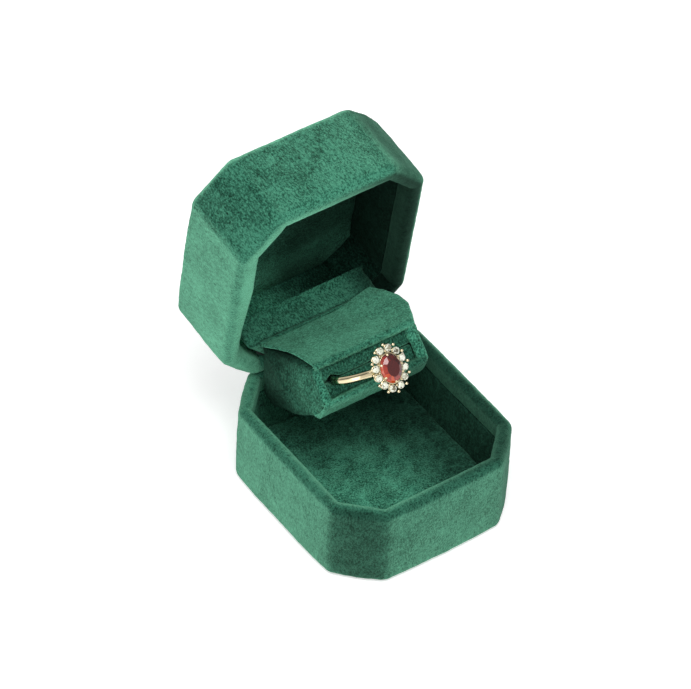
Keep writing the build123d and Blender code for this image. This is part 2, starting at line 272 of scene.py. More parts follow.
# ------------------------------------------------------------- meshes
def loft(rings, looped=False):
    """Points and faces of a closed skin through rings of equal length."""
    rings = np.asarray(rings, float)
    rows, columns = rings.shape[:2]
    points = rings.reshape(-1, 3)
    row = np.arange(rows if looped else rows - 1)[:, None]
    column = np.arange(columns)[None, :]
    next_row = (row + 1) % rows
    next_column = (column + 1) % columns
    corners = (
        row * columns + column,
        row * columns + next_column,
        next_row * columns + next_column,
        next_row * columns + column,
    )
    faces = np.stack(corners, -1).reshape(-1, 4).tolist()
    if not looped:
        faces.append(list(range(columns)))
        faces.append(list(range((rows - 1) * columns, rows * columns)))
    return points, faces


def store(piece, name, values):
    """Stores one number per corner of a piece, for its material."""
    attributes = piece.data.attributes
    kept = attributes.get(name) or attributes.new(name, "FLOAT", "POINT")
    kept.data.foreach_set("value", np.asarray(values).astype(np.float32))


def pile_places(piece):
    """Where each corner of a piece lies, in millimetres, lid pieces with the box shut."""
    return read_vectors(piece.data.attributes["pile_place"].data, "vector").astype(float)


def new_piece(name, points, faces, body, finish, nap=as_built, smooth=True):
    """A closed mesh that rides on a body, remembers where its pile lies and starts with even painted shade.
    """
    mesh = bpy.data.meshes.new(name)
    mesh.from_pydata((np.asarray(points) * MM).tolist(), [], faces)
    cleaned = bmesh.new()
    cleaned.from_mesh(mesh)
    bmesh.ops.remove_doubles(cleaned, verts=cleaned.verts, dist=0.002 * MM)
    bmesh.ops.recalc_face_normals(cleaned, faces=cleaned.faces)
    cleaned.to_mesh(mesh)
    cleaned.free()
    mesh.polygons.foreach_set("use_smooth", [smooth] * len(mesh.polygons))
    piece = bpy.data.objects.new(name, mesh)
    bpy.context.scene.collection.objects.link(piece)
    mesh.materials.append(materials[finish])
    lie = nap(read_vectors(mesh.vertices, "co").astype(float) / MM).astype(np.float32)
    mesh.attributes.new("pile_place", "FLOAT_VECTOR", "POINT").data.foreach_set("vector", lie.ravel())
    # painted shade of 1 everywhere: no painted light or shade yet
    store(piece, "painted_shade", np.ones(len(lie)))
    if body:
        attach(piece, body)
    return piece


def ruffle(piece, layers):
    """Moves a velvet skin in and out by soft noise; layers are (size, depth)."""
    mesh = piece.data
    normals = read_vectors(mesh.vertex_normals, "vector")
    lie = pile_places(piece)
    shift = np.zeros(len(lie))
    for number, (size, depth) in enumerate(layers):
        offset = Vector((17.3 * number, 5.1, 9.7))
        shift += [depth * noise.noise(Vector(place) / size + offset) for place in lie]
    places = read_vectors(mesh.vertices, "co") + normals * shift[:, None] * MM
    mesh.vertices.foreach_set("co", places.astype(np.float32).ravel())
    mesh.update()


def paint_shade(piece, rule):
    """Paints light and shade onto a velvet skin by a rule; rule takes x, y and z."""
    # painted light and shade: the rule's values multiply the velvet's colour
    store(piece, "painted_shade", rule(*pile_places(piece).T))


def dress(piece, node, waves, rule=None):
    """Ruffles a soft piece, paints light and shade on it by a rule and hides the CAD node it stands in for.
    """
    ruffle(piece, waves)
    if rule:
        paint_shade(piece, rule)
    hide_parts(node)


def pale_rim_wear_and_highlight(piece, rim, reach):
    """Marks velvet pale near the rim's height, as rim wear and a painted highlight."""
    height = pile_places(piece)[:, 2]
    store(piece, "rim_wear_and_highlight", np.exp(-((np.abs(height - rim) / reach) ** 1.5)))


def edge_share(grid, axis, edge):
    """Share of full thickness along one axis of a grid, thin near both ends."""
    steps = np.linalg.norm(np.diff(grid, axis=axis), axis=-1).mean(1 - axis)
    run = np.concatenate(((0,), steps.cumsum()))
    near = np.clip(np.minimum(run, run[-1] - run) / edge, 0, 1)
    return np.sqrt(1 - (1 - near) ** 2)


def sheet(name, middle, thick, body, finish, edge=0.5, nap=as_built):
    """Soft cloth of a thickness about a grid of middle points, thin at its edges."""
    middle = np.asarray(middle, float)
    normals = np.cross(np.gradient(middle, axis=0), np.gradient(middle, axis=1))
    normals /= np.linalg.norm(normals, axis=-1, keepdims=True)
    half = thick / 2 * edge_share(middle, 0, edge)[:, None] * edge_share(middle, 1, edge)[None, :]
    rows, columns = middle.shape[:2]
    upper = (middle + normals * half[..., None]).reshape(-1, 3)
    lower = (middle - normals * half[..., None]).reshape(-1, 3)
    row = np.arange(rows - 1)[:, None]
    column = np.arange(columns - 1)[None, :]
    corner = row * columns + column
    quads = np.stack((corner, corner + 1, corner + columns + 1, corner + columns), -1)
    top_faces = quads.reshape(-1, 4)
    faces = np.concatenate((top_faces, top_faces[:, ::-1] + rows * columns)).tolist()
    return new_piece(name, np.concatenate((upper, lower)), faces, body, finish, nap)


def across_grid(path, half_length, step=FINE):
    """Grid that carries a (y, z) path from side to side; half_length may depend on y."""
    longest = max(half_length(y) for y, _ in path)
    shares = np.linspace(-1, 1, 2 * round(longest / step) + 1)
    return np.array([[(share * half_length(y), y, z) for y, z in path] for share in shares])


def bolster(name, section, half_length, body, finish, end_round, place=as_built, nap=as_built):
    """Padded bar: a closed (y, z) section carried along x, with rounded ends."""
    middle = section.mean(0)
    reach = np.linalg.norm(section - middle, axis=1).mean()
    longest = max(half_length(y) for y, _ in section)
    straight = np.linspace(0, 1, round((longest - end_round) / FINE) + 1) * (longest - end_round)
    bends = np.linspace(0, pi / 2, 6)[1:]
    stations = [(x, 1.0) for x in straight]
    stations += [
        (longest - end_round * (1 - sin(bend)), 1 - end_round * (1 - cos(bend)) / reach)
        for bend in bends
    ]
    last = stations[-1]
    stations += [(last[0], last[1] * share) for share in (0.75, 0.5, 0.25, 0.04)]
    stations = [(-x, scale) for x, scale in stations[:0:-1]] + stations
    rings = []
    for x, scale in stations:
        outline = middle + (section - middle) * scale
        lengths = np.array([half_length(y) for y, _ in outline]) / longest
        rings.append(np.column_stack((x * lengths, outline)))
    points, faces = loft(place(np.array(rings)))
    return new_piece(name, points, faces, body, finish, nap)


# ------------------------------------------------------------- material building
def feed(tree, socket, value):
    """Gives a shader socket a fixed value, or another socket to read."""
    if isinstance(value, bpy.types.NodeSocket):
        tree.links.new(value, socket)
    else:
        socket.default_value = value


def add_node(tree, kind, inputs=None, **settings):
    """Adds a shader node, sets it up and wires its inputs."""
    made = tree.nodes.new(kind)
    for name, value in settings.items():
        setattr(made, name, value)
    for name, value in (inputs or {}).items():
        feed(tree, made.inputs[name], value)
    return made


def noise_node(tree, vector, scale, detail=3.0, rough=0.55, distortion=0.0):
    """Soft noise between 0 and 1."""
    settings = {
        "Vector": vector,
        "Scale": scale,
        "Detail": detail,
        "Roughness": rough,
        "Distortion": distortion,
    }
    return add_node(tree, "ShaderNodeTexNoise", settings).outputs["Fac"]


def maths(tree, operation, first, second, third=0.5):
    """One sum on shader values."""
    inputs = {0: first, 1: second, 2: third}
    return add_node(tree, "ShaderNodeMath", inputs, operation=operation).outputs[0]


def scaled(tree, value, depth, level):
    """Swings a 0 to 1 value by depth about a level."""
    return maths(tree, "MULTIPLY_ADD", value, depth, level - depth / 2)


def mix_colours(tree, factor, first, second, blend="MIX"):
    """Blends two colours by a factor."""
    inputs = {0: factor, 6: first, 7: second}
    return add_node(tree, "ShaderNodeMix", inputs, data_type="RGBA", blend_type=blend).outputs[2]


def map_range(tree, value, start, finish, low, high, curve="SMOOTHSTEP"):
    """Carries a value's range from start to finish over to low to high."""
    inputs = {"Value": value, "From Min": start, "From Max": finish, "To Min": low, "To Max": high}
    return add_node(tree, "ShaderNodeMapRange", inputs, interpolation_type=curve).outputs[0]


def bump_node(tree, height, strength, depth):
    """Surface direction roughened by a height; depth in millimetres."""
    inputs = {"Height": height, "Strength": strength, "Distance": depth * MM}
    return add_node(tree, "ShaderNodeBump", inputs).outputs[0]


def stored(tree, name, output="Fac"):
    """A value stored on the mesh."""
    return add_node(tree, "ShaderNodeAttribute", attribute_name=name).outputs[output]


def own_place(tree):
    """Place on the object, in metres."""
    return add_node(tree, "ShaderNodeTexCoord").outputs["Object"]


def stretched(tree, vector, scale):
    """A place scaled differently along each axis."""
    return add_node(tree, "ShaderNodeMapping", {"Vector": vector, "Scale": scale}).outputs[0]


def ramp(tree, factor, stops):
    """Colour ramp through (position, colour) stops."""
    made = add_node(tree, "ShaderNodeValToRGB", {"Fac": factor})
    elements = made.color_ramp.elements
    while len(elements) < len(stops):
        elements.new(0.5)
    for element, (position, colour) in zip(elements, stops):
        element.position = position
        element.color = (*colour, 1.0)
    return made.outputs["Color"]


materials = {}


def new_material(name):
    """Material with an empty Principled surface; returns its tree and its shader."""
    made = bpy.data.materials.new(name)
    made.use_nodes = True
    materials[name] = made
    return made.node_tree, made.node_tree.nodes["Principled BSDF"]


def wire(tree, shader, **inputs):
    """Sets inputs of a shader; names use _ for spaces."""
    for name, value in inputs.items():
        feed(tree, shader.inputs[name.replace("_", " ")], value)


# ------------------------------------------------------------- velvet
velvet_deep = (0.003, 0.017, 0.010)
velvet_dark = (0.009, 0.050, 0.031)
velvet_mid = (0.021, 0.105, 0.066)
velvet_light = (0.050, 0.205, 0.132)
# colour of the painted sheen at grazing angles
painted_sheen_colour = (0.19, 0.56, 0.36)
velvet_stops = ((0.10, velvet_deep), (0.36, velvet_dark), (0.58, velvet_mid), (0.92, velvet_light))
streak_size = 1.4
tuft_size = 0.42
fibre_size = 0.2


def velvet(name, patch_size, patch_depth, glow, lift=0.0):
    """Short-pile velvet: brushed patches, fine grain, a painted sheen that pales it at grazing
    angles, rim wear with a painted highlight, and painted light and shade from stored values."""
    tree, shader = new_material(name)
    lie = stored(tree, "pile_place", "Vector")
    rim_wear_and_highlight = stored(tree, "rim_wear_and_highlight")
    shade = stored(tree, "painted_shade")
    along = stretched(tree, lie, (1.0, 1.0, 0.6))
    patch = noise_node(tree, lie, 1 / patch_size, 3.0, 0.5, 0.8)
    streak = noise_node(tree, along, 1 / streak_size, 3.0, 0.6, 0.3)
    tufts = noise_node(tree, along, 1 / tuft_size, 3.0, 0.8)
    fibre = noise_node(tree, lie, 1 / fibre_size, 2.0, 0.6)

    tone = scaled(tree, patch, patch_depth, 0.5 + lift)
    tone = maths(tree, "ADD", tone, scaled(tree, streak, 0.6, 0.0))
    tone = maths(tree, "ADD", tone, scaled(tree, tufts, 2.6, 0.0))
    # rim wear and a painted highlight pale the tone near the rim
    tone = maths(tree, "ADD", tone, maths(tree, "MULTIPLY", rim_wear_and_highlight, 0.22))
    colour = ramp(tree, tone, velvet_stops)

    coarse = maths(tree, "MULTIPLY", tufts, 0.7)
    height = maths(tree, "ADD", coarse, maths(tree, "MULTIPLY", fibre, 0.3))
    bump = bump_node(tree, height, 0.7, 0.18)
    facing = add_node(tree, "ShaderNodeLayerWeight", {"Blend": 0.5, "Normal": bump}).outputs["Facing"]
    # painted sheen: the colour pales towards a light green at grazing angles
    grazing = map_range(tree, facing, 0.15, 0.65, 0.0, glow)
    pale = maths(tree, "MULTIPLY", grazing, maths(tree, "ADD", tone, 0.45))
    glowing = mix_colours(tree, pale, colour, (*painted_sheen_colour, 1.0))
    # painted light and shade: the stored painted shade multiplies the colour
    wire(
        tree,
        shader,
        Base_Color=mix_colours(tree, 1.0, glowing, shade, "MULTIPLY"),
        Roughness=0.92,
        Specular_IOR_Level=0.06,
        Sheen_Weight=0.25 * glow,
        Sheen_Roughness=0.45,
        Sheen_Tint=(0.35, 0.95, 0.66, 1.0),
        Normal=bump,
    )


# ------------------------------------------------------------- hard materials
def metal(name, colour, edge_colour, roughness, brushed=0.0, turned_away=0.3):
    """Polished or brushed metal with faint colour drift, fine scratches and smudges, and painted
    dark reflections where it turns away and along any stored painted reflection line."""
    tree, shader = new_material(name)
    place = own_place(tree)
    drift = noise_node(tree, place, 260.0, 3.0)
    smudge = noise_node(tree, place, 900.0, 4.0, 0.6, 0.4)
    scratch = noise_node(tree, stretched(tree, place, (1.0, 9.0, 9.0)), 2600.0, 2.0, 0.7)
    tint = mix_colours(tree, drift, (*colour, 1.0), (*edge_colour, 1.0))
    facing = add_node(tree, "ShaderNodeLayerWeight", {"Blend": 0.5}).outputs["Facing"]
    # painted dark reflections: where the surface turns away, and along a stored line
    dark = map_range(tree, facing, 0.35, 0.85, 0.0, turned_away)
    dark = maths(tree, "MAXIMUM", dark, stored(tree, "painted_dark_reflection"))
    tint = mix_colours(tree, dark, tint, (*(part * 0.12 for part in edge_colour), 1.0))
    rough = maths(tree, "MULTIPLY_ADD", smudge, 0.16, roughness)
    bump = bump_node(tree, scratch, 0.05 + brushed, 0.02)
    wire(tree, shader, Base_Color=tint, Metallic=1.0, Roughness=rough, Normal=bump)


def plastic(name, colour, dark, roughness, grain_size):
    """Moulded plastic or board: fine grain and mottled colour."""
    tree, shader = new_material(name)
    place = own_place(tree)
    mottle = noise_node(tree, place, 180.0, 4.0, 0.6, 0.5)
    grain = noise_node(tree, place, 1 / (grain_size * MM), 3.0, 0.65)
    bump = bump_node(tree, grain, 0.4, 0.06)
    tint = mix_colours(tree, mottle, (*dark, 1.0), (*colour, 1.0))
    wire(tree, shader, Base_Color=tint, Roughness=roughness, Specular_IOR_Level=0.3, Normal=bump)


def gem(name, stops, transmission, ior, roughness):
    """Faceted stone whose facets take painted reflections from a stored value."""
    tree, shader = new_material(name)
    colour = ramp(tree, stored(tree, "painted_facet_light"), stops)
    wear = noise_node(tree, own_place(tree), 1400.0, 3.0)
    rough = maths(tree, "MULTIPLY_ADD", wear, 0.04, roughness)
    wire(tree, shader, Base_Color=colour, Roughness=rough, IOR=ior, Transmission_Weight=transmission)


gold_bright = (0.90, 0.80, 0.56)
gold_warm = (0.76, 0.63, 0.37)
steel_light = (0.62, 0.62, 0.60)
steel_dark = (0.46, 0.46, 0.45)
# facet colours of painted light, from facets in painted shade to painted glints
garnet_stops = (
    (0.0, (0.035, 0.001, 0.001)),
    (0.4, (0.16, 0.003, 0.002)),
    (0.7, (0.34, 0.013, 0.003)),
    (1.0, (0.60, 0.065, 0.005)),
)
clear_stops = (
    (0.0, (0.05, 0.04, 0.02)),
    (0.22, (0.26, 0.24, 0.15)),
    (0.40, (0.80, 0.84, 0.66)),
    (1.0, (0.98, 1.0, 0.88)),
)

shell_light = (0.055, 0.075, 0.065)
shell_dark = (0.03, 0.042, 0.037)
board_light = (0.022, 0.06, 0.043)
board_dark = (0.012, 0.036, 0.026)
foam_light = (0.05, 0.13, 0.09)
foam_dark = (0.025, 0.075, 0.05)
spring_light = (0.5, 0.49, 0.46)

# one velvet cloth throughout: glow sets each copy's painted sheen, and lift paints its tone lighter
velvet("velvet_outer", 10.0, 0.6, glow=0.6, lift=0.04)
velvet("velvet_lining", 7.0, 0.6, glow=0.12)
velvet("velvet_pad", 5.0, 0.9, glow=0.2, lift=0.06)
velvet("velvet_holder", 8.0, 0.5, glow=0.22, lift=0.12)
velvet("velvet_cheek", 5.0, 0.5, glow=0.12)
velvet("slot_pad", 6.0, 0.3, glow=0.3)
plastic("shell_plastic", shell_light, shell_dark, 0.55, 0.4)
plastic("foot_panel", board_light, board_dark, 0.85, 0.25)
plastic("holder_foam", foam_light, foam_dark, 0.95, 0.5)
metal("hinge_steel", steel_light, steel_dark, 0.26, 0.12)
metal("hinge_rivet", steel_dark, steel_light, 0.32, 0.05)
metal("hinge_pin_steel", steel_light, steel_dark, 0.18, 0.03)
metal("spring_steel", spring_light, steel_dark, 0.28, 0.05)
metal("gold", gold_bright, gold_warm, 0.05, turned_away=0.9)
gem("garnet", garnet_stops, 0.2, 1.7, 0.02)
gem("clear_stone", clear_stops, 0.12, 1.8, 0.01)

nap_waves = ((14.0, 0.16), (4.0, 0.07), (1.3, 0.07))  # (size, depth) of the velvet's unevenness

# painted light and shade on the left, right, front and rear faces, then on the corner faces
base_face_shades = (0.68, 0.75, 0.72, 0.80, 0.36, 0.30, 0.60, 0.50)
lid_face_shades = (0.82, 0.70, 1.35, 0.80, 1.05, 0.30, 0.60, 0.60)
base_lining_face_shades = (0.8, 0.2, 0.7, 0.8, 0.8, 0.2, 0.3, 1.4)
lid_lining_face_shades = (0.8, 0.7, 0.8, 2.6, 0.8, 0.7, 0.9, 2.2)


def swollen(points, depth, low, high):
    """The outer faces bowed out between two heights, most in the middle of each face."""
    points = np.array(points, float)
    x, y, z = np.moveaxis(points, -1, 0)
    depths = face_depths(x, y)
    outer = np.clip(1 - depths.min(0) / cover_skin, 0, 1)
    level = np.clip((z - low) / (high - low), 0, 1)
    corner_gap = np.abs(depths[:4].min(0) - depths[4:].min(0))
    across = 1 - np.exp(-((corner_gap / 4.0) ** 2))
    amount = depth * outer * np.sqrt(np.sin(pi * level).clip(0)) * (0.35 + 0.65 * across)
    reach = np.hypot(x, y)
    points[..., 0] += x / reach * amount
    points[..., 1] += y / reach * amount
    return points


def cover_shade(face_shades, rim, wall, left_rim, right_rim):
    """Painted light and shade of an outer cover: one value per face, and a rim painted darker to the right.
    """

    def rule(x, y, z):
        """Painted shade at each place."""
        shade = face_mix(x, y, face_shades)
        inset = face_depths(x, y).min(0)
        on_rim = soft_step((inset / wall - 0.12) / 0.3) * (np.abs(z - rim) < turn_in_depth + 2)
        to_right = soft_step((x / half_width + 0.4) / 1.2)
        rim_shade = left_rim + (right_rim - left_rim) * to_right
        return shade + (rim_shade - shade) * on_rim

    return rule


# ------------------------------------------------------------- base
rim_under = base_top - rim_round
base_fold = rim_under - turn_in_depth


def base_cover():
    """Velvet over the base's outside, turned in over the rim and under the foot."""
    section = rounded([
        (0, base_bottom, 1.0),
        (0, base_top, 1.65),
        (base_wall, base_top, 1.6),
        (base_wall, base_fold, 0.25),
        (base_wall - turn_in, base_fold, 0.15),
        (base_wall - turn_in, rim_under, 0.2),
        (cover_skin, rim_under, 0.2),
        (cover_skin, foot_top, 0.2),
        (foot_inset, foot_top, 0.15),
        (foot_inset, base_bottom, 0.15),
    ])
    rings = [level_ring(inset, height) for inset, height in section]
    points, faces = loft(swollen(rings, 0.9, base_bottom - 4, base_top), looped=True)
    piece = new_piece("base_cover_velvet", points, faces, "base", "velvet_outer")
    pale_rim_wear_and_highlight(piece, base_top, 4.5)
    dress(piece, "base_cover", nap_waves, cover_shade(base_face_shades, base_top, base_wall, 0.9, 0.3))


def base_lining_shade(x, y, z):
    """Painted shade, its own value on each of the lining's walls."""
    return face_mix(x, y, base_lining_face_shades, blend=2.0)


def base_lining():
    """Velvet on the inside of the base's walls, below the turned-in rim."""
    section = rounded([
        (lining_start, floor_level, 0.2),
        (base_wall, floor_level, 0.2),
        (base_wall, base_fold - 0.1, 0.45),
        (base_wall - turn_in - 0.1, base_fold - 0.1, 0.1),
        (base_wall - turn_in - 0.1, rim_under - 0.2, 0.15),
        (lining_start, rim_under - 0.2, 0.15),
    ])
    rings = [level_ring(inset, height) for inset, height in section]
    points, faces = loft(rings, looped=True)
    piece = new_piece("base_lining_velvet", points, faces, "base", "velvet_lining")
    dress(piece, "base_lining", ((9.0, 0.18), (2.5, 0.08)), base_lining_shade)


def padded_octagon(name, node, body, finish, inset, foot, thick, crown, shading):
    """Padded panel that fills the box's outline, with a soft edge and a crowned face."""
    place, nap = (opened, shut) if body == "lid" else (as_built, as_built)
    way = 1 if thick > 0 else -1
    soft = 0.7
    face = foot + thick
    rings = shrunk_rings(level_ring(inset, foot), (0.02, 0.35, 0.7, 1.0), 0)
    rings.append(level_ring(inset, face - way * soft))
    for bend in np.linspace(0, pi / 2, 5)[1:]:
        rings.append(level_ring(inset + soft * (1 - cos(bend)), face - way * soft * (1 - sin(bend))))
    scales = 1 - (np.arange(1, 42) / 42) ** 0.9
    rings += shrunk_rings(rings[-1], scales, way * crown)
    points, faces = loft(place(np.array(rings)))
    piece = new_piece(name, points, faces, body, finish, nap)
    dress(piece, node, ((8.0, 0.35), (2.6, 0.14), (1.2, 0.06)), shading)


def floor_shade(x, y, z):
    """Painted light on the base's floor: lighter towards the front left."""
    return (2.1 - 1.55 * soft_step((x + 2) / 22)) * (1 - 0.35 * soft_step((y + 8) / 30))


def ceiling_shade(x, y, z):
    """Painted light on the lid's ceiling: lighter towards the left and towards the hinge."""
    return (1.7 - 1.4 * soft_step((x + 20) / 26)) * (1 + 1.6 * soft_step((y - 8) / 12))


# ------------------------------------------------------------- lid
lid_cap = lid_rim + rim_round
lid_fold = lid_cap + turn_in_depth
notch_half = 12.4
notch_edge = 0.9
notch_rise = 3.4
notch_reach = 9.0


def clear_hinge(points):
    """Lifts the lid's rear rim over the hinge knuckles, in shut coordinates."""
    points = np.array(points, float)
    near_side = np.clip((notch_half + notch_edge - np.abs(points[..., 0])) / notch_edge, 0, 1)
    near_rear = points[..., 1] > half_depth - corner_cut / 2
    fade = 1 - soft_step((points[..., 2] - lid_rim) / notch_reach)
    points[..., 2] += notch_rise * near_side * near_rear * fade
    return points


def full_left(points):
    """Padding that stands further in on the lid's left wall, in shut coordinates."""
    points = np.array(points, float)
    x, y, _ = np.moveaxis(points, -1, 0)
    inside = soft_step((face_depths(x, y).min(0) - 1.2) / 2.6)
    points[..., 0] += 1.5 * inside * soft_step((-x - 9) / 12) * soft_step((12 - y) / 20)
    return points


def lid_lining_shade(x, y, z):
    """Painted light and shade on the lid's lining: its own value on each wall, lighter at the rear wall and
    towards the left.
    """
    walls = face_mix(x, y, lid_lining_face_shades, blend=2.0)
    rear = 1 + 0.9 * soft_step((y - 16) / 5)
    return walls * rear * (1 - 0.85 * soft_step((x + 14) / 26))


def lid_cover():
    """Velvet over the lid's outside, turned in over the rim."""
    top_inset = 5.0
    section = rounded([
        (top_inset, lid_top, 0),
        (0, lid_top, 2.5),
        (0, lid_rim, 2.0),
        (lid_wall, lid_rim, 2.0),
        (lid_wall, lid_fold, 0.25),
        (lid_wall - turn_in, lid_fold, 0.15),
        (lid_wall - turn_in, lid_cap, 0.2),
        (cover_skin, lid_cap, 0.2),
        (cover_skin, lid_top - cover_skin, 1.7),
        (top_inset, lid_top - cover_skin, 0),
    ], closed=False)
    scales = np.linspace(0.02, 1, 38)[:-1]
    rings = shrunk_rings(level_ring(top_inset, lid_top), scales, 0.25)
    rings += [level_ring(inset, height) for inset, height in section]
    rings += shrunk_rings(level_ring(top_inset, lid_top - cover_skin), scales[::-6], 0.2)
    rings = swollen(rings, 1.0, lid_rim, lid_top + 8)
    points, faces = loft(opened(clear_hinge(full_left(rings))))
    piece = new_piece("lid_cover_velvet", points, faces, "lid", "velvet_outer", shut)
    pale_rim_wear_and_highlight(piece, lid_rim, 6.0)
    dress(piece, "lid_cover", nap_waves, cover_shade(lid_face_shades, lid_rim, lid_wall, 1.0, 0.07))


def lid_lining():
    """Padded velvet on the inside of the lid's walls."""
    section = rounded([
        (lining_start, lid_cap + 0.2, 0.15),
        (lid_wall - turn_in - 0.1, lid_cap + 0.2, 0.15),
        (lid_wall - turn_in - 0.1, lid_fold + 0.1, 0.1),
        (lid_wall, lid_fold + 0.1, 0.5),
        (lid_wall, ceiling, 0.5),
        (lining_start, ceiling, 0.2),
    ])
    rings = [level_ring(inset, height) for inset, height in section]
    points, faces = loft(opened(clear_hinge(full_left(rings))), looped=True)
    piece = new_piece("lid_lining_velvet", points, faces, "lid", "velvet_lining", shut)
    dress(piece, "lid_lining", ((9.0, 0.25), (2.5, 0.08)), lid_lining_shade)


# ------------------------------------------------------------- lift bar and fold
bar_points = shut(node_points("lift_bar_cover"))
bar_low = bar_points.min(0)
bar_high = bar_points.max(0)
bar_half = 20.0


def bar_shade(x, y, z):
    """Painted shade on the roll: darker towards its right end, and darkest in the fold under it."""
    crease = np.hypot(y - bar_low[1], z - bar_low[2])
    return (1.3 - 1.0 * soft_step((x - 8) / 12)) * (1 - 0.75 * np.exp(-((crease / 0.7) ** 2)))


def lift_bar_cover():
    """Velvet roll over the bar that carries the holder."""
    section = rounded([
        (bar_low[1], bar_low[2], 0.8),
        (bar_high[1], bar_low[2], 0.8),
        (bar_high[1], bar_high[2], 1.2),
        (bar_low[1], bar_high[2], 1.8),
    ])

    def half_length(y):
        """The roll is shorter where it bulges past its foot."""
        return bar_half - max(0.0, y - bar_low[1] - 1.0)

    piece = bolster("lift_bar_velvet", section, half_length, "lid", "velvet_holder", 2.2, opened, shut)
    dress(piece, "lift_bar_cover", ((7.0, 0.2), (2.2, 0.1), (1.2, 0.06)), bar_shade)


# ------------------------------------------------------------- ring holder
top_length = 22.0
top_tilt = radians(21.3)
slot_face_length = 11.0
lip_length = 7.2
lip_lean = radians(24.8)
holder_skin = 0.8
core_half = 14.0
cheek_front = 15.6
cheek_rear = 17.0
pad_half = 13.0
slot_half = 4.4
slot_depth = 11.0
wrap_depth = 3.4  # how far the velvet turns into the slot
pad_recess = 1.7
pad_pinch = 0.12  # half of the gap between the pads, away from the ring
press_width = 1.2
press_gap = 0.15

fold = np.array((fold_y, fold_z))
top_way = np.array((-cos(top_tilt), sin(top_tilt)))
out_way = slot_out[1:]
up_way = slot_up[1:]
lip_way = np.array((sin(lip_lean), -cos(lip_lean)))
rear_top = fold + top_way * 0.2
front_top = fold + top_way * top_length
front_mid = front_top - up_way * slot_face_length
lip_bottom = front_mid + lip_way * lip_length
low_point = fold - np.array((5.5, 18.0))
rear_heel = fold - np.array((1.7, 16.2))
slot_middle = (front_top + front_mid) / 2
belly = (lip_bottom + low_point) / 2 + np.array((0.12, -1.0))
ring_in_slot = (ring_middle[0], (ring_middle[1:] - slot_middle) @ out_way)  # along and out


def holder_half(y):
    """Half length of the holder, wider towards the fold."""
    share = (y - front_top[0]) / (fold[0] - front_top[0])
    return cheek_front + (cheek_rear - cheek_front) * min(max(share, 0.0), 1.1)


def drawn_in(points, amount):
    """A closed outline moved towards its inside."""
    ahead = np.roll(points, -1, 0) - np.roll(points, 1, 0)
    normals = np.column_stack((-ahead[:, 1], ahead[:, 0]))
    normals /= np.linalg.norm(normals, axis=1, keepdims=True)
    area = np.sum(points[:, 0] * np.roll(points[:, 1], -1) - points[:, 1] * np.roll(points[:, 0], -1))
    return points + normals * amount * (1 if area > 0 else -1)


def holder_outline(radius):
    """The holder seen from its end."""
    corners = [
        (*rear_top, radius),
        (*front_top, radius),
        (*front_mid, radius),
        (*lip_bottom, radius),
        (*belly, 6.0),
        (*low_point, 2.0),
        (*rear_heel, 1.6),
    ]
    return rounded(corners)


# the top plate's left and right edges: distance from the fold, half length, rise
plate_places = (0.0, 5.0, 10.0, 14.0, 19.0, 22.0)
plate_left = (17.0, 16.2, 15.3, 15.0, 14.9, 14.8)
plate_left_rise = (0.0, 0.7, 1.1, 1.0, 0.4, 0.0)
plate_right = (17.0, 18.4, 19.4, 19.3, 16.9, 15.4)
plate_right_rise = (2.8, 3.0, 2.7, 1.6, 0.3, 0.0)


def holder_top():
    """Velvet top plate with a lobed right end, wrapped over its front edge into the slot."""
    inner = holder_skin / 2
    plate_down = np.array((-top_way[1], top_way[0]))
    path = rounded([
        (*(rear_top + top_way * 0.3 + plate_down * inner), 0),
        (*(front_top + plate_down * inner - top_way * inner * 0.6), 1.2),
        (*(slot_middle + up_way * (slot_half + inner) - out_way * inner), 0.6),
        (*(slot_middle + up_way * (slot_half + inner) - out_way * wrap_depth), 0),
    ], step=0.4, closed=False)
    along = np.clip((path - rear_top) @ top_way, 0, top_length)
    behind_front = soft_step(((path - front_top) @ -plate_down + 1.2) / 1.2)
    shares = np.linspace(-1, 1, 73)
    grid = []
    for share in shares:
        half = np.interp(along, plate_places, plate_right if share > 0 else plate_left)
        rise = np.interp(along, plate_places, plate_right_rise) * soft_step((share - 0.3) / 0.7)
        rise += np.interp(along, plate_places, plate_left_rise) * soft_step((-share - 0.6) / 0.4)
        lifted = path - plate_down * (rise * behind_front)[:, None]
        grid.append(np.column_stack((share * half, lifted)))
    piece = sheet("holder_top_velvet", grid, holder_skin, "holder", "velvet_holder")
    waves = ((9.0, 0.22), (3.0, 0.1), (1.2, 0.06))
    # painted light on the plate, a little lighter towards the right
    dress(piece, "holder_top_cover", waves, lambda x, y, z: 1.45 + 0.008 * x)


def holder_lip():
    """Padded velvet strip under the slot."""
    inner = holder_skin / 2
    lip_in = np.array((-lip_way[1], lip_way[0]))
    path = rounded([
        (*(slot_middle - up_way * (slot_half + inner) - out_way * wrap_depth), 0),
        (*(slot_middle - up_way * (slot_half + inner) - out_way * inner), 0.5),
        (*(front_mid + lip_in * inner + lip_way * 0.2), 1.5),
        (*(lip_bottom + lip_in * inner), 1.6),
        (*(lip_bottom + lip_in * 3.0 + lip_way * 0.2), 0),
    ], step=0.4, closed=False)
    grid = across_grid(path, holder_half, 0.5)
    piece = sheet("holder_lip_velvet", grid, 1.2, "holder", "velvet_holder")
    waves = ((6.0, 0.3), (2.4, 0.12), (1.2, 0.06))
    # painted light on the lip, fading darker towards the right
    dress(piece, "holder_lip", waves, lambda x, y, z: 1.6 - 0.8 * soft_step((x + 2) / 14))


def holder_back():
    """Velvet over the holder's underside and rear."""
    inner = holder_skin / 2
    start = lip_bottom + np.array((2.4, -0.4))
    path = rounded([
        (*start, 0),
        (*(low_point + np.array((0.0, inner))), 3.0),
        (*(rear_heel + np.array((-inner, inner))), 1.4),
        (*(rear_top + np.array((-0.9, -1.2))), 0),
    ], closed=False)
    grid = across_grid(path, lambda y: core_half, 0.9)
    piece = sheet("holder_back_velvet", grid, holder_skin, "holder", "velvet_holder")
    dress(piece, "holder_back_cover", ((7.0, 0.2), (2.5, 0.1)))


